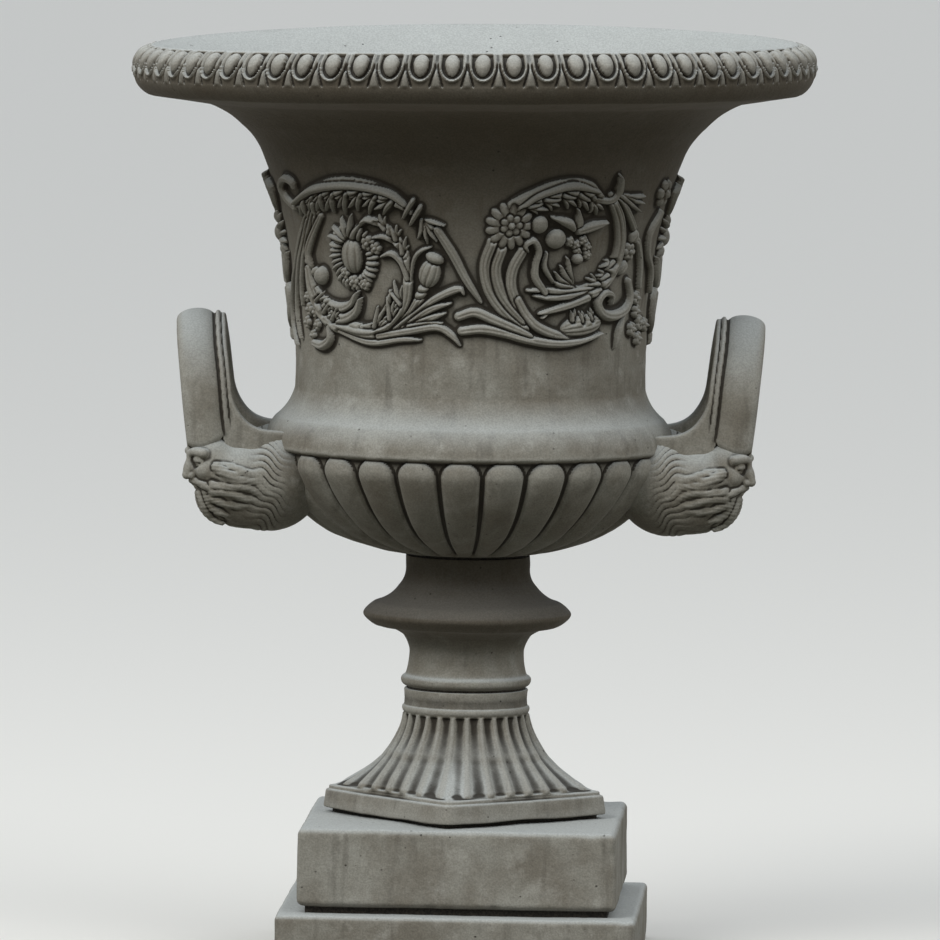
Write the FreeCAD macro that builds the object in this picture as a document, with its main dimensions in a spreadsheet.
# Garden urn in cast stone: a campana bowl with two loop handles on bearded heads,
# a knopped stem, a fluted foot, a square plinth and a base slab.
# Millimetres, +Z up, origin on the floor at the middle of the base slab.
# -X is the left handle, -Y is the front.
import FreeCAD, Part
import math
import os
import Sketcher

V = FreeCAD.Vector
UP = V(0, 0, 1)
OUT = "parts"

SIZES = {
    # square blocks
    "slab_side": 322.0,
    "slab_floor": 0.0,
    "slab_top": 50.0,
    "slab_round": 5.0,
    "plinth_side": 286.0,
    "plinth_bottom": 56.0,
    "plinth_top": 126.0,
    "plinth_round": 6.0,
    "plinth_taper": 0.9,
    "pedestal_turn": -2.7,
    # mortar beds, and the steel across them
    "bed_inset": 8.0,
    "dowel_radius": 5.0,
    "dowel_length": 50.0,
    "slab_dowel_circle": 120.0,
    "foot_dowel_circle": 62.0,
    "stem_dowel_circle": 34.0,
    "pin_radius": 4.0,
    "pin_length": 46.0,
    "wall_pin_root": 158.0,
    "wall_pin_low": 425.0,
    "wall_pin_high": 446.0,
    "loop_pin_place": 231.0,
    "loop_pin_bottom": 430.0,
    # drain
    "drain_radius": 16.0,
    "drain_wall": 3.0,
    "drain_bottom": 6.0,
    # foot: four-cornered moulding, flutes, collar
    "foot_bottom": 129.0,
    "foot_step": 147.0,
    "flute_bottom": 150.5,
    "flute_top": 220.0,
    "foot_top": 241.0,
    "foot_corner": 128.0,
    "foot_side": 95.0,
    "foot_corner_round": 9.0,
    "foot_step_inset": 4.5,
    "foot_draft": 2.0,
    "foot_turn": -7.0,
    "flutes": 28.0,
    "flute_phase": 1.2,
    "flute_squareness": 1.12,
    "flute_square_above": 36.0,
    "rib_share": 0.26,
    "flute_depth": 0.2,
    "collar_radius": 55.8,
    # gadroons under the bowl
    "gadroons": 28.0,
    "gadroon_phase": -2.5,
    "gadroon_share": 0.95,
    "gadroon_depth": 0.17,
    "gadroon_dome": 22.0,
    # frieze of scrolls on the wall
    "frieze_height": 8.0,
    "frieze_root": 6.0,
    "frieze_radius": 172.0,
    "frieze_reach": 225.0,
    "left_scroll_middle": -40.0,
    "right_scroll_middle": 30.0,
    # loop handles
    "loop_half_span": 72.0,
    "loop_spring": 499.0,
    "loop_foot": 446.0,
    "loop_width": 45.0,
    "loop_thickness": 28.0,
    "loop_bead": 8.0,
    "loop_groove": 2.5,
    "loop_place": 177.2,
    "loop_lean": 6.5,
    # bearded heads
    "head_turn": 17.0,
    "head_centre": 215.0,
    "head_height": 432.0,
    "head_deep": 84.0,
    "head_wide": 68.0,
    "head_tall": 74.0,
    "face_tilt": 18.0,
    "nose_reach": 267.0,
    "brow_height": 456.0,
    "beard_height": 404.0,
}

# Outlines as the radius and height of each point. The third number is the bulge of the
# stretch to the next point, outwards from the axis: 0 is straight, 0.41 a quarter circle.
STEM_OUTLINE = [
    (0, 243.0, 0), (54.5, 243.0, 0.25), (58.4, 247.0, 0.5), (55.0, 253.5, 0), (54.0, 256.0, -0.06),
    (52.0, 276.0, -0.10), (58.0, 289.5, -0.16), (83.0, 298.0, 0.10), (92.5, 305.5, 0.45),
    (92.3, 311.5, 0.08), (83.5, 319.0, -0.20), (62.0, 333.5, -0.22), (55.8, 352.0, 0), (55.8, 361.0, 0),
    (0, 361.0, 0),
]
BOWL_OUTLINE = [
    (0, 456.0, 0), (184.5, 456.0, 0.05), (183.0, 468.0, 0.12), (174.5, 485.5, -0.17), (157.5, 512.0, 0),
    (157.5, 550.0, -0.03), (162.0, 615.0, -0.05), (176.0, 685.0, -0.02), (188.5, 720.0, -0.13),
    (208.8, 748.7, -0.13), (243.0, 771.5, 0), (268.0, 775.5, 0), (293.5, 779.5, 0.16), (303.8, 791.0, 0.14),
    (304.9, 805.0, 0.16), (293.5, 821.0, 0.10), (289.5, 824.5, 0), (0, 824.5, 0),
]
HOLLOW_OUTLINE = [
    (0, 396.0, 0), (88.0, 399.0, 0.30), (149.0, 440.0, 0.08), (149.0, 468.0, 0.12), (129.0, 512.0, -0.02),
    (130.0, 600.0, -0.05), (147.0, 690.0, -0.10), (176.0, 744.0, -0.12), (238.0, 793.0, -0.05),
    (286.0, 824.5, 0), (286.0, 840.0, 0), (0, 840.0, 0),
]
# The crests of the gadroons under the bowl, and the ribs of the fluted foot, by radius and height.
GADROON_CRESTS = [
    (60.0, 364.0), (79.0, 367.0), (106.0, 374.7), (128.0, 384.0), (147.0, 397.5), (164.0, 414.0),
    (177.0, 432.0), (183.2, 444.0), (184.9, 452.0), (184.9, 457.5), (184.9, 460.6),
]
FLUTE_RIBS = [
    (118.5, 150.5), (112.5, 155.0), (99.5, 162.0), (86.0, 170.5), (74.5, 180.0), (65.0, 194.0),
    (59.2, 207.0), (56.3, 220.0),
]
# The scrolls that stand out of the wall. Each stem is its width, then its points as degrees from
# the front, height and the bulge of the stretch to the next point; each flower is degrees, height
# and radius. Both scrolls come twice, half a turn apart.
FRIEZE_WALL = BOWL_OUTLINE[5:9]
LEFT_SCROLL = {
    "stems": [
        (15.0, [(-60.0, 607.0, 0.63), (-20.0, 612.0, 0.41), (-30.5, 672.0, 0)]),
        (19.0, [(-64.0, 679.0, -0.35), (-15.0, 675.0, 0)]),
        (22.0, [(-54.0, 674.0, -0.05), (-75.0, 597.0, 0.45), (-71.0, 559.0, 0)]),
        (8.0, [(-10.0, 662.0, 0), (3.0, 600.0, 0)]),
        (10.0, [(-27.0, 569.0, 0.10), (-4.0, 610.0, 0)]),
        (9.0, [(-31.0, 566.0, -0.25), (-4.0, 565.0, 0)]),
    ],
    "flowers": [(-39.3, 638.0, 24.0), (-13.0, 630.0, 11.0), (-62.0, 573.0, 13.0)],
}
RIGHT_SCROLL = {
    "stems": [
        (15.0, [(43.0, 692.0, -0.55), (42.0, 612.0, -0.33), (30.0, 618.0, 0)]),
        (18.0, [(41.0, 606.0, 0.08), (19.0, 600.0, 0)]),
        (18.0, [(8.0, 650.0, 0.43), (17.0, 580.0, 0)]),
        (8.0, [(21.0, 612.0, 0), (18.5, 655.0, 0)]),
        (19.0, [(11.5, 676.0, -0.33), (39.0, 694.0, 0)]),
        (10.0, [(15.0, 602.0, 0.27), (39.0, 568.0, 0)]),
        (9.0, [(-3.0, 575.0, 0.07), (45.5, 569.0, 0)]),
        (9.0, [(-4.0, 588.0, -0.15), (19.0, 571.0, 0)]),
        (10.0, [(57.0, 612.0, -0.85), (44.0, 598.0, 0)]),
        (9.0, [(46.0, 694.0, -0.19), (64.5, 606.0, 0)]),
        (9.0, [(72.0, 676.0, 0.33), (76.0, 604.0, 0)]),
        (12.0, [(46.0, 694.0, 0), (58.0, 688.0, 0)]),
    ],
    "flowers": [
        (11.0, 669.0, 21.0), (26.0, 656.0, 10.0), (34.0, 649.0, 13.0), (56.0, 650.0, 12.0),
        (65.0, 590.0, 13.0), (68.0, 574.0, 12.0), (70.0, 693.0, 14.0),
    ],
}
# The inner edge of a loop's root, where it curves down and in to the bowl's shoulder.
ROOT_OUTLINE = [
    (213.5, 512.0, -0.12), (205.5, 491.5, -0.24), (181.0, 476.5, 0), (150.0, 474.0, 0), (150.0, 440.0, 0),
    (222.0, 446.0, 0), (233.0, 512.0, 0),
]

doc = FreeCAD.newDocument("GardenUrn")
sheet = doc.addObject("Spreadsheet::Sheet", "Sizes")
nodes = []


def point_alias(outline, kind, index):
    """Name of the cell that holds one outline point's radius or height."""
    return "%s_%s_%s" % (outline, kind, chr(ord("a") + index))


def frieze_outline():
    """Outline of the ring that the scrolls are cut from: the wall's own, moved out and in."""
    rise = SIZES["frieze_height"]
    root = SIZES["frieze_root"]
    outer = [(radius + rise, height, bulge) for radius, height, bulge in FRIEZE_WALL[:-1]]
    radius, height, bulge = FRIEZE_WALL[-1]
    outer.append((radius + rise, height, 0))
    inner = [(radius - root, height, 0) for radius, height, bulge in reversed(FRIEZE_WALL)]
    return outer + inner


def fill_sheet():
    """Write every driving size, and each turned outline's radii and heights, as aliased cells."""
    rows = list(SIZES.items())
    outlines = {
        "stem": STEM_OUTLINE,
        "bowl": BOWL_OUTLINE,
        "hollow": HOLLOW_OUTLINE,
        "frieze": frieze_outline(),
    }
    for name, points in outlines.items():
        for i, (radius, height, bulge) in enumerate(points):
            rows.append((point_alias(name, "radius", i), radius))
            rows.append((point_alias(name, "height", i), height))
    rows.append(("bowl_bottom", GADROON_CRESTS[0][1]))
    for row, (alias, value) in enumerate(rows, start=1):
        sheet.set("A%d" % row, alias)
        sheet.set("B%d" % row, str(value))
        sheet.setAlias("B%d" % row, alias)
    doc.recompute()


def size(alias):
    """Value of one cell of the sheet."""
    return float(getattr(sheet, alias))


def tie(obj, **links):
    """Bind properties of an object to expressions over the sheet."""
    for prop, expression in links.items():
        obj.setExpression(prop, expression)


def keep(label, obj):
    """Give a finished piece its name."""
    obj.Label = label
    nodes.append(obj)


def on_circle(radius, degrees, height):
    """Point at an angle measured from the front, turning towards +X."""
    a = math.radians(degrees)
    return V(radius * math.sin(a), -radius * math.cos(a), height)


def new_sketch(body, name, role):
    """Sketch on one of the body's own origin planes."""
    sketch = body.newObject("Sketcher::SketchObject", name)
    support = [f for f in body.Origin.OriginFeatures if f.Role == role][0]
    sketch.AttachmentSupport = [(support, "")]
    sketch.MapMode = "FlatFace"
    return sketch


def arc_middle(start, end, bulge):
    """Middle of the arc that bulges to the right of the run from start to end."""
    run = end - start
    return (start + end) * 0.5 + V(run.y, -run.x, 0) * (bulge * 0.5)


def add_edge(sketch, start, end, bulge):
    """Draw a line or arc from start to end; gives its index and its start and end handles."""
    if bulge == 0:
        return sketch.addGeometry(Part.LineSegment(start, end), False), 1, 2
    middle = arc_middle(start, end, bulge)
    chord_middle = (start + end) * 0.5
    rise = middle.distanceToPoint(chord_middle)
    half = start.distanceToPoint(end) / 2
    radius = (half * half + rise * rise) / (2 * rise)
    centre = middle + (chord_middle - middle) * (radius / rise)
    from_start = math.atan2(start.y - centre.y, start.x - centre.x)
    from_end = math.atan2(end.y - centre.y, end.x - centre.x)
    circle = Part.Circle(centre, UP, radius)
    if bulge > 0:
        return sketch.addGeometry(Part.ArcOfCircle(circle, from_start, from_end), False), 1, 2
    return sketch.addGeometry(Part.ArcOfCircle(circle, from_end, from_start), False), 2, 1


def tie_last(sketch, constraint, alias):
    """Add a dimension and bind it to a cell."""
    place = sketch.addConstraint(constraint)
    sketch.setExpression("Constraints[%d]" % place, "Sizes." + alias)


def join_edges(sketch, edges):
    """Close a run of edges end to start."""
    for i, (index, start, end) in enumerate(edges):
        after, after_start, after_end = edges[(i + 1) % len(edges)]
        sketch.addConstraint(Sketcher.Constraint("Coincident", index, end, after, after_start))


def turned_body(name, points):
    """Body revolved from a half outline whose points are tied to their cells."""
    body = doc.addObject("PartDesign::Body", name + "_body")
    sketch = new_sketch(body, name + "_outline", "XZ_Plane")
    corners = [V(radius, height, 0) for radius, height, bulge in points]
    edges = []
    for i, (radius, height, bulge) in enumerate(points):
        edges.append(add_edge(sketch, corners[i], corners[(i + 1) % len(corners)], bulge))
    join_edges(sketch, edges)
    for i, (radius, height, bulge) in enumerate(points):
        index, start, end = edges[i]
        if radius == 0:
            sketch.addConstraint(Sketcher.Constraint("PointOnObject", index, start, -2))
        else:
            across = Sketcher.Constraint("DistanceX", index, start, radius)
            tie_last(sketch, across, point_alias(name, "radius", i))
        up = Sketcher.Constraint("DistanceY", index, start, height)
        tie_last(sketch, up, point_alias(name, "height", i))
        if bulge != 0:
            sketch.addConstraint(Sketcher.Constraint("Radius", index, sketch.Geometry[index].Radius))
    turned = body.newObject("PartDesign::Revolution", name + "_turned")
    turned.Profile = sketch
    turned.ReferenceAxis = (sketch, ["V_Axis"])
    turned.Angle = 360.0
    body.Tip = turned
    return body


def square_body(name, side, bottom, top, rounding, taper):
    """Square block with rounded upright edges and a softened top edge."""
    body = doc.addObject("PartDesign::Body", name + "_body")
    sketch = new_sketch(body, name + "_plan", "XY_Plane")
    half = size(side) / 2
    corners = [V(-half, -half, 0), V(half, -half, 0), V(half, half, 0), V(-half, half, 0)]
    edges = [add_edge(sketch, corners[i], corners[(i + 1) % 4], 0) for i in range(4)]
    join_edges(sketch, edges)
    for i in (0, 2):
        sketch.addConstraint(Sketcher.Constraint("Horizontal", i))
        sketch.addConstraint(Sketcher.Constraint("Vertical", i + 1))
    sketch.addConstraint(Sketcher.Constraint("Symmetric", 0, 1, 2, 1, -1, 1))
    tie_last(sketch, Sketcher.Constraint("DistanceX", 0, 1, 0, 2, 2 * half), side)
    tie_last(sketch, Sketcher.Constraint("DistanceY", 1, 1, 1, 2, 2 * half), side)
    pad = body.newObject("PartDesign::Pad", name + "_pad")
    pad.Profile = sketch
    pad.TaperAngle = -taper
    tie(pad, Length="Sizes.%s - Sizes.%s" % (top, bottom))
    body.Tip = pad
    doc.recompute()
    softened = []
    for i, edge in enumerate(pad.Shape.Edges, start=1):
        if edge.BoundBox.ZMax > 1.0:
            softened.append("Edge%d" % i)
    rounded = body.newObject("PartDesign::Fillet", name + "_rounding")
    rounded.Base = (pad, softened)
    tie(rounded, Radius="Sizes." + rounding)
    body.Tip = rounded
    turn = FreeCAD.Rotation(UP, size("pedestal_turn"))
    body.Placement = FreeCAD.Placement(V(0, 0, size(bottom)), turn)
    return body


def wire_object(name, edges):
    """Closed section wire as a document object."""
    section = doc.addObject("Part::Feature", name)
    section.Shape = Part.Wire(Part.__sortEdges__(edges))
    return section


def lofted(name, wires):
    """Solid lofted through closed section wires."""
    loft = doc.addObject("Part::Loft", name)
    loft.Sections = [wire_object("%s_section_%d" % (name, i), edges) for i, edges in enumerate(wires)]
    loft.Solid = True
    loft.Ruled = False
    loft.MaxDegree = 3
    return loft


def cut(name, base, tools):
    """Cut tools out of base, one after another."""
    for i, tool in enumerate(tools):
        step = doc.addObject("Part::Cut", "%s_cut_%d" % (name, i))
        step.Base = base
        step.Tool = tool
        base = step
    return base


def fused(name, shapes):
    """One solid from several that overlap."""
    union = doc.addObject("Part::MultiFuse", name)
    union.Shapes = shapes
    return union


def group(name, members):
    """Separate solids of one kind, kept together."""
    compound = doc.addObject("Part::Compound", name)
    compound.Links = members
    return compound


def cylinder(name, radius, length, foot, direction=UP):
    """Round bar from foot along direction; radius and length are expressions."""
    bar = doc.addObject("Part::Cylinder", name)
    tie(bar, Radius=radius, Height=length)
    bar.Placement = FreeCAD.Placement(foot, FreeCAD.Rotation(UP, direction))
    return bar


def dowel_ring(name, above, circle, count, start):
    """Upright dowels across the mortar bed under the level named, evenly spaced on a circle."""
    bars = []
    for i in range(count):
        foot = on_circle(size(circle), start + i * 360.0 / count, size(above) - size("dowel_length") / 2)
        bars.append(cylinder("%s_%d" % (name, i), "Sizes.dowel_radius", "Sizes.dowel_length", foot))
    ring = group(name, bars)
    keep(name, ring)
    return ring


def make_drain():
    """Plastic tube through the middle, and the bore that it fills."""
    length = "Sizes.hollow_height_a - Sizes.drain_bottom"
    foot = V(0, 0, size("drain_bottom"))
    outside = cylinder("drain_outside", "Sizes.drain_radius", length, foot)
    inside = cylinder("drain_inside", "Sizes.drain_radius - Sizes.drain_wall", length, foot)
    keep("drain_tube", cut("drain", outside, [inside]))
    return cylinder("drain_bore", "Sizes.drain_radius", "Sizes.hollow_height_b", V(0, 0, 0))


def make_pedestal(bore):
    """Base slab and plinth, with the bed between them."""
    slab = square_body("slab", "slab_side", "slab_floor", "slab_top", "slab_round", 0)
    plinth = square_body("block", "plinth_side", "plinth_bottom", "plinth_top", "plinth_round",
                         size("plinth_taper"))
    lower = dowel_ring("dowels_slab_plinth", "plinth_bottom", "slab_dowel_circle", 4, 45.0)
    upper = dowel_ring("dowels_plinth_foot", "plinth_top", "foot_dowel_circle", 3, 0.0)
    keep("base_slab", cut("slab", slab, [bore, lower]))
    keep("plinth", cut("plinth", plinth, [bore, lower, upper]))
    bed = doc.addObject("Part::Box", "slab_bed")
    side = "Sizes.plinth_side - 2 * Sizes.bed_inset"
    tie(bed, Length=side, Width=side, Height="Sizes.plinth_bottom - Sizes.slab_top")
    half = size("plinth_side") / 2 - size("bed_inset")
    turn = FreeCAD.Rotation(UP, size("pedestal_turn"))
    corner = turn.multVec(V(-half, -half, 0)) + V(0, 0, size("slab_top"))
    bed.Placement = FreeCAD.Placement(corner, turn)
    keep("bedding_slab_plinth", cut("slab_bed", bed, [bore, lower]))
    return upper


def four_cornered(inset, height):
    """Edges of the foot's plan: a square set cornerwise, with full sides and rounded corners."""
    corner = size("foot_corner") - inset
    side = size("foot_side") - inset
    rounding = size("foot_corner_round")
    edges = []
    for quarter in range(4):
        front = quarter * 90.0 + size("foot_turn")
        centre = on_circle(corner - rounding, front, height)
        before = centre + on_circle(rounding, front - 45.0, 0)
        after = centre + on_circle(rounding, front + 45.0, 0)
        following = on_circle(corner - rounding, front + 90.0, height) + on_circle(rounding, front + 45.0, 0)
        edges.append(Part.Arc(before, on_circle(corner, front, height), after).toShape())
        edges.append(Part.Arc(after, on_circle(side, front + 45.0, height), following).toShape())
    return edges


def foot_reach(radius, degrees, height):
    """Radius of the foot at an angle: round above, drawn out to four corners below."""
    a = math.radians(degrees - size("foot_turn"))
    power = size("flute_squareness")
    square = (abs(math.cos(a)) ** power + abs(math.sin(a)) ** power) ** (-1.0 / power)
    share = 1.0 - (height - size("flute_bottom")) / size("flute_square_above")
    share = max(0.0, min(1.0, share)) ** 1.5
    return radius * (1.0 - share * (1.0 - square))


def fluted_section(radius, height):
    """Edges of one level of the fluted foot: hollow flutes between rounded ribs."""
    count = int(size("flutes"))
    pitch = 360.0 / count
    rib = pitch * size("rib_share")
    hollow = size("flute_depth") * math.radians(pitch - rib)
    edges = []
    for i in range(count):
        middle = size("flute_phase") + i * pitch
        starts = middle - rib / 2
        ends = middle + rib / 2
        following = starts + pitch
        deep = (ends + following) / 2
        crest = on_circle(foot_reach(radius, middle, height) * 1.008, middle, height)
        left = on_circle(foot_reach(radius, starts, height), starts, height)
        right = on_circle(foot_reach(radius, ends, height), ends, height)
        bottom = on_circle(foot_reach(radius, deep, height) * (1.0 - hollow), deep, height)
        over = on_circle(foot_reach(radius, following, height), following, height)
        edges.append(Part.Arc(left, crest, right).toShape())
        edges.append(Part.Arc(right, bottom, over).toShape())
    return edges


def make_foot(bore, lower_dowels):
    """Fluted foot on its four-cornered moulding, with the bed beneath it."""
    inset = size("foot_step_inset")
    moulding = lofted("moulding", [four_cornered(0, size("foot_bottom")),
                                   four_cornered(size("foot_draft"), size("foot_step"))])
    step = lofted("moulding_step", [four_cornered(inset, size("foot_step") - 1.0),
                                    four_cornered(inset, size("flute_bottom"))])
    trumpet = lofted("trumpet", [fluted_section(radius, height) for radius, height in FLUTE_RIBS])
    collar = cylinder("collar", "Sizes.collar_radius", "Sizes.foot_top - Sizes.flute_top",
                      V(0, 0, size("flute_top")))
    upper = dowel_ring("dowels_foot_stem", "foot_top", "stem_dowel_circle", 3, 60.0)
    foot = fused("foot_casting", [moulding, step, trumpet, collar])
    keep("fluted_foot", cut("foot", foot, [bore, lower_dowels, upper]))
    bed_inset = size("bed_inset")
    bed = lofted("foot_bed", [four_cornered(bed_inset, size("plinth_top")),
                              four_cornered(bed_inset, size("foot_bottom"))])
    keep("bedding_plinth_foot", cut("foot_bed", bed, [bore, lower_dowels]))
    return upper


def round_bed(name, radius, bottom, top, tools):
    """Round mortar bed between two heights."""
    bed = cylinder(name + "_disc", radius, "Sizes.%s - Sizes.%s" % (top, bottom), V(0, 0, size(bottom)))
    keep(name, cut(name, bed, tools))


def make_stem(bore, lower_dowels):
    """Turned stem with the ring and the knop, and the beds at its two ends."""
    last = len(STEM_OUTLINE) - 1
    foot = point_alias("stem", "height", 0)
    head = point_alias("stem", "height", last)
    upper = dowel_ring("dowels_stem_bowl", "bowl_bottom", "stem_dowel_circle", 3, 0.0)
    keep("knop_stem", cut("stem", turned_body("stem", STEM_OUTLINE), [bore, lower_dowels, upper]))
    round_bed("bedding_foot_stem", "Sizes.stem_radius_b - 1", "foot_top", foot, [bore, lower_dowels])
    round_bed("bedding_stem_bowl", "Sizes.collar_radius - 3", head, "bowl_bottom", [bore, upper])
    return upper


def gadroon_section(radius, height):
    """Edges of one level of the gadroons: full lobes between narrow valleys, domed at the top."""
    count = int(size("gadroons"))
    pitch = 360.0 / count
    top = GADROON_CRESTS[-1][1] + 0.4
    rise = (height - (top - size("gadroon_dome"))) / size("gadroon_dome")
    dome = math.sqrt(1.0 - max(0.0, rise) ** 2)
    lobe = pitch * size("gadroon_share") * dome
    depth = size("gadroon_depth") * math.radians(pitch) * radius
    valley = radius - depth
    edges = []
    for i in range(count):
        middle = size("gadroon_phase") + i * pitch
        starts = middle - lobe / 2
        ends = middle + lobe / 2
        following = starts + pitch
        left = on_circle(valley, starts, height)
        right = on_circle(valley, ends, height)
        over = on_circle(valley, following, height)
        crest = on_circle(valley + depth * dome, middle, height)
        edges.append(Part.Arc(left, crest, right).toShape())
        edges.append(Part.Arc(right, on_circle(valley, (ends + following) / 2, height), over).toShape())
    return edges


def make_bowl_outside():
    """The bowl's outer form as one full solid."""
    gadroons = lofted("gadroon", [gadroon_section(radius, height) for radius, height in GADROON_CRESTS])
    return fused("bowl_outside", [turned_body("bowl", BOWL_OUTLINE), gadroons])


def stem_edges(start, end, bulge, width):
    """Closed outline of one stretch of a raised stem, with round ends."""
    middle = arc_middle(start, end, bulge)
    run = end - start
    sides = [V(run.y, -run.x, 0).normalize()] * 3
    if bulge:
        centre = Part.Arc(start, middle, end).toShape().Curve.Center
        sides = [(p - centre).normalize() * math.copysign(1.0, bulge) for p in (start, middle, end)]
    right = [p + side * (width / 2) for p, side in zip((start, middle, end), sides)]
    left = [p - side * (width / 2) for p, side in zip((start, middle, end), sides)]
    before = start - V(-sides[0].y, sides[0].x, 0) * (width / 2)
    beyond = end + V(-sides[2].y, sides[2].x, 0) * (width / 2)
    edges = [Part.Arc(right[2], beyond, left[2]).toShape(), Part.Arc(left[0], before, right[0]).toShape()]
    for first, between, last in (right, left):
        edges.append(Part.Arc(first, between, last).toShape() if bulge else Part.makeLine(first, last))
    return edges


def make_scroll(name, scroll, ring):
    """Raised stems and flowers of one scroll, cut from the ring that follows the wall."""
    turn = size(name + "_middle")
    facing = FreeCAD.Rotation(UP, turn).multiply(FreeCAD.Rotation(V(1, 0, 0), 90))
    out = facing.multVec(UP)

    def flat(degrees, height):
        return V(size("frieze_radius") * math.sin(math.radians(degrees - turn)), height, 0)

    outlines = []
    for width, points in scroll["stems"]:
        for (from_angle, from_height, bulge), (to_angle, to_height, after) in zip(points, points[1:]):
            start = flat(from_angle, from_height)
            end = flat(to_angle, to_height)
            outlines.append(stem_edges(start, end, bulge, width))
    for degrees, height, radius in scroll["flowers"]:
        outlines.append([Part.makeCircle(radius, flat(degrees, height))])
    raised = []
    for edges in outlines:
        outline = wire_object(name + "_outline", edges)
        outline.Placement = FreeCAD.Placement(V(0, 0, 0), facing)
        prism = doc.addObject("Part::Extrusion", name + "_stem")
        prism.Base = outline
        prism.DirMode = "Custom"
        prism.Dir = out
        prism.Solid = True
        tie(prism, LengthFwd="Sizes.frieze_reach")
        raised.append(prism)
    scroll_form = doc.addObject("Part::Common", name)
    scroll_form.Base = fused(name + "_stems", raised)
    scroll_form.Tool = ring
    return scroll_form


def make_frieze():
    """Both scrolls, each at its place and again half a turn on."""
    ring = turned_body("frieze", frieze_outline())
    placed = []
    for name, scroll in (("left_scroll", LEFT_SCROLL), ("right_scroll", RIGHT_SCROLL)):
        form = make_scroll(name, scroll, ring)
        for turn in (0, 180):
            copy = group("%s_at_%d" % (name, turn), [form])
            copy.Placement = FreeCAD.Placement(V(0, 0, 0), FreeCAD.Rotation(UP, turn))
            placed.append(copy)
    return placed


def loop_profile(sketch):
    """Section of a loop: flat inside, and outside a broad roll between two beads."""
    half = size("loop_width") / 2
    thick = size("loop_thickness") / 2
    bead = size("loop_bead")
    groove = size("loop_groove")
    inner = half - bead
    points = [
        (-half, thick, 0.0), (-half, -thick + bead / 2, 0.9), (-inner, -thick + groove, 0.0),
        (-inner + groove, -thick + groove, 0.30), (inner - groove, -thick + groove, 0.0),
        (inner, -thick + groove, 0.9), (half, -thick + bead / 2, 0.0), (half, thick, 0.12),
    ]
    corners = [V(across, out, 0) for across, out, bulge in points]
    edges = []
    for i, (across, out, bulge) in enumerate(points):
        edges.append(add_edge(sketch, corners[i], corners[(i + 1) % len(corners)], bulge))
    join_edges(sketch, edges)


def make_loop_body(side):
    """One inverted-U handle, swept along its path and leaned outwards."""
    body = doc.addObject("PartDesign::Body", "loop_body")
    section = new_sketch(body, "loop_section", "XY_Plane")
    foot = size("loop_foot")
    spring = size("loop_spring")
    span = size("loop_half_span")
    section.AttachmentOffset = FreeCAD.Placement(V(0, -span, foot), FreeCAD.Rotation())
    section.setExpression("AttachmentOffset.Base.y", "-Sizes.loop_half_span")
    section.setExpression("AttachmentOffset.Base.z", "Sizes.loop_foot")
    loop_profile(section)
    path = new_sketch(body, "loop_path", "YZ_Plane")
    path.addGeometry(Part.LineSegment(V(-span, foot, 0), V(-span, spring, 0)), False)
    arch = Part.Arc(V(-span, spring, 0), V(0, spring + span, 0), V(span, spring, 0))
    path.addGeometry(arch, False)
    path.addGeometry(Part.LineSegment(V(span, spring, 0), V(span, foot, 0)), False)
    pipe = body.newObject("PartDesign::AdditivePipe", "loop_pipe")
    pipe.Profile = section
    pipe.Spine = (path, ["Edge1", "Edge2", "Edge3"])
    body.Tip = pipe
    lean = FreeCAD.Rotation(V(0, 1, 0), size("loop_lean"))
    facing = FreeCAD.Rotation(UP, 0 if side > 0 else 180)
    body.Placement = FreeCAD.Placement(V(side * size("loop_place"), 0, 0), facing.multiply(lean))
    return body


def make_loop(name, side, bowl_outside, pins):
    """Loop handle with its two roots, fitted to the bowl's shoulder."""
    corners = [V(side * radius, height, 0) for radius, height, bulge in ROOT_OUTLINE]
    roots = []
    for end in (-1, 1):
        edges = []
        for i, (radius, height, bulge) in enumerate(ROOT_OUTLINE):
            start = corners[i]
            finish = corners[(i + 1) % len(corners)]
            middle = arc_middle(start, finish, side * bulge)
            level = end * size("loop_half_span") - size("loop_thickness") / 2
            ends = [V(p.x, level, p.y) for p in (start, middle, finish)]
            edges.append(Part.Arc(*ends).toShape() if bulge else Part.makeLine(ends[0], ends[2]))
        root = doc.addObject("Part::Extrusion", "%s_root" % name)
        root.Base = wire_object("%s_root_outline" % name, edges)
        root.DirMode = "Custom"
        root.Dir = V(0, 1, 0)
        root.Solid = True
        tie(root, LengthFwd="Sizes.loop_thickness")
        roots.append(root)
    loop = fused(name + "_casting", [make_loop_body(side)] + roots)
    fitted = cut(name, loop, [bowl_outside, pins])
    keep("handle_" + name, fitted)
    return fitted


def ellipsoid(name, deep, wide, tall, centre, tilt):
    """Ellipsoid in the head's own frame; the sizes are expressions for its full widths."""
    form = doc.addObject("Part::Ellipsoid", name)
    tie(form, Radius1="(%s) / 2" % tall, Radius2="(%s) / 2" % deep, Radius3="(%s) / 2" % wide)
    form.Angle1 = -90
    form.Angle2 = 90
    form.Angle3 = 360
    form.Placement = FreeCAD.Placement(centre, FreeCAD.Rotation(V(0, 1, 0), tilt))
    return form


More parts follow.
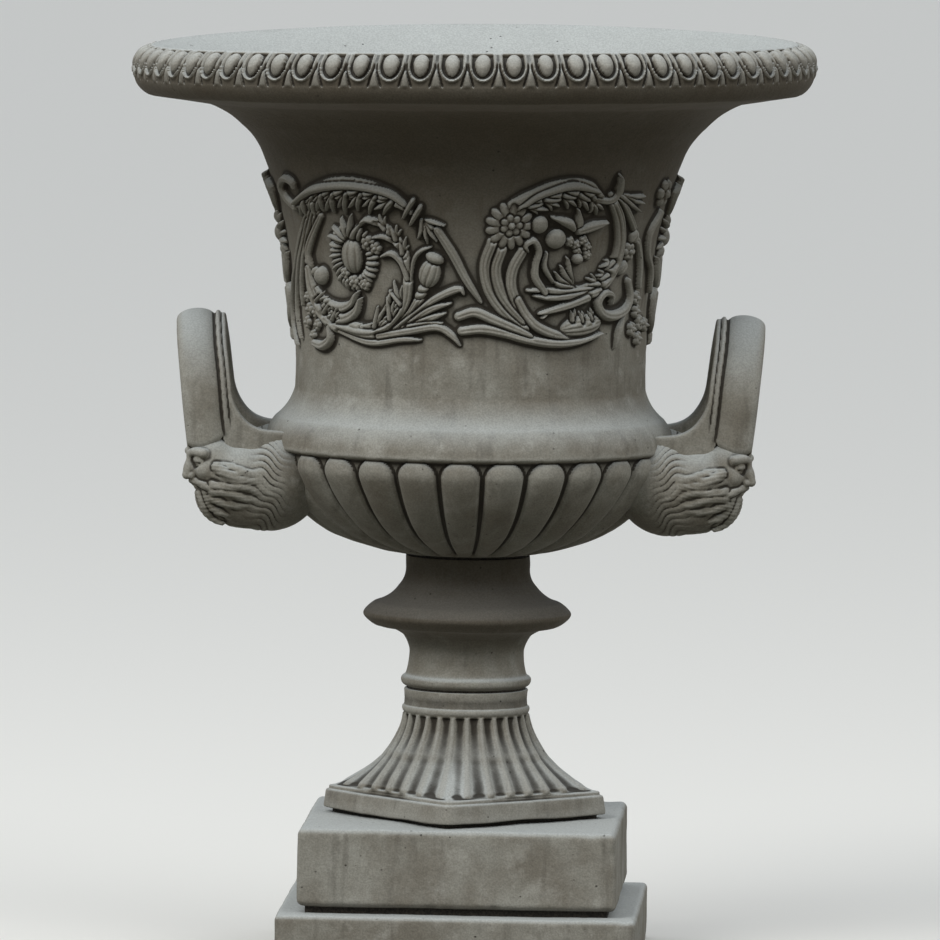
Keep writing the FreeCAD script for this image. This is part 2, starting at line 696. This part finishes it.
def make_head(name, degrees, bowl_outside, handle, pins):
    """Bearded head that looks outwards and a little down, cut to the bowl and the handle."""
    centre = size("head_centre")
    height = size("head_height")
    tilt = size("face_tilt")
    skull = ellipsoid("skull", "Sizes.head_deep", "Sizes.head_wide", "Sizes.head_tall",
                      V(centre, 0, height), 0)
    face = ellipsoid("face", "Sizes.head_deep * 0.62", "Sizes.head_wide * 0.76", "Sizes.head_tall * 0.92",
                     V(centre + 17, 0, height + 1), tilt)
    beard = ellipsoid("beard", "Sizes.head_deep * 0.66", "Sizes.head_wide * 0.78", "Sizes.head_tall * 0.52",
                      V(centre + 3, 0, size("beard_height")), tilt)
    neck = ellipsoid("neck", "Sizes.head_deep * 1.2", "Sizes.head_wide * 0.96", "Sizes.head_tall",
                     V(centre - 33, 0, height - 4), 0)
    nose = doc.addObject("Part::Cone", "nose")
    nose.Radius1 = 8.5
    nose.Radius2 = 3.5
    nose.Height = 22.0
    nose.Placement = FreeCAD.Placement(V(size("nose_reach") - 8.5, 0, size("brow_height") - 26),
                                       FreeCAD.Rotation(V(0, 1, 0), tilt - 22))
    brow = doc.addObject("Part::Cylinder", "brow")
    brow.Radius = 6.0
    brow.Height = 38.0
    brow.Placement = FreeCAD.Placement(V(size("nose_reach") - 14, 19, size("brow_height") - 2),
                                       FreeCAD.Rotation(V(1, 0, 0), 90))
    head = fused("head_form", [skull, face, beard, neck, nose, brow])
    turned = doc.addObject("Part::Compound", "head_turned")
    turned.Links = [head]
    turned.Placement = FreeCAD.Placement(V(0, 0, 0), FreeCAD.Rotation(UP, degrees))
    keep("mask_" + name, cut("mask", turned, [bowl_outside, handle, pins]))


def make_side(name, side, bowl_outside):
    """One handle with its two heads, and the steel that holds them; gives the wall pins."""
    upright = []
    level = []
    turn = size("head_turn")
    facing = 0 if side > 0 else 180
    for i, end in enumerate((-1, 1)):
        foot = V(side * size("loop_pin_place"), end * size("loop_half_span"), size("loop_pin_bottom"))
        upright.append(cylinder("%s_loop_pin_%d" % (name, i), "Sizes.pin_radius", "Sizes.pin_length", foot))
        a = math.radians(facing + side * end * turn)
        out = V(math.cos(a), math.sin(a), 0)
        for j, height in enumerate(("wall_pin_low", "wall_pin_high")):
            start = out * size("wall_pin_root") + V(0, 0, size(height))
            label = "%s_wall_pin_%d_%d" % (name, i, j)
            level.append(cylinder(label, "Sizes.pin_radius", "Sizes.pin_length", start, out))
    loop_pins = group("dowels_handle_" + name, upright)
    wall_pins = group("dowels_mask_" + name, level)
    keep("dowels_handle_" + name, loop_pins)
    keep("dowels_mask_" + name, wall_pins)
    handle = make_loop(name, side, bowl_outside, loop_pins)
    pins = fused(name + "_all_pins", upright + level)
    for end, place in ((-1, "front"), (1, "back")):
        make_head("%s_%s" % (name, place), facing + side * end * turn, bowl_outside, handle, pins)
    return wall_pins


def make_bowl(bore, lower_dowels):
    """The bowl casting, hollowed and bored, with the handles and heads that it carries."""
    outside = make_bowl_outside()
    tools = [turned_body("hollow", HOLLOW_OUTLINE), bore, lower_dowels]
    for name, side in (("left", -1), ("right", 1)):
        tools.append(make_side(name, side, outside))
    carved = fused("bowl_carved", [outside] + make_frieze())
    keep("bowl", cut("bowl", carved, tools))


def check_and_write():
    """Stop on any failed object or shape, then write one file for each piece."""
    doc.recompute()
    for obj in doc.Objects:
        if "Invalid" in obj.State or "Error" in obj.State:
            raise RuntimeError("%s is %s" % (obj.Name, obj.State))
    os.makedirs(OUT, exist_ok=True)
    for node in nodes:
        shape = node.Shape
        if shape.isNull() or not shape.isValid() or not shape.Solids:
            raise RuntimeError("%s has no valid solid" % node.Label)
        shape.exportStep("%s/%s.step" % (OUT, node.Label))
        box = shape.optimalBoundingBox(False)
        print("%-22s solids %2d  volume %9.1f cm3  x %.0f..%.0f  y %.0f..%.0f  z %.0f..%.0f" % (
            node.Label, len(shape.Solids), shape.Volume / 1000.0,
            box.XMin, box.XMax, box.YMin, box.YMax, box.ZMin, box.ZMax))


fill_sheet()
drain = make_drain()
foot_dowels = make_pedestal(drain)
stem_dowels = make_foot(drain, foot_dowels)
bowl_dowels = make_stem(drain, stem_dowels)
make_bowl(drain, bowl_dowels)
check_and_write()
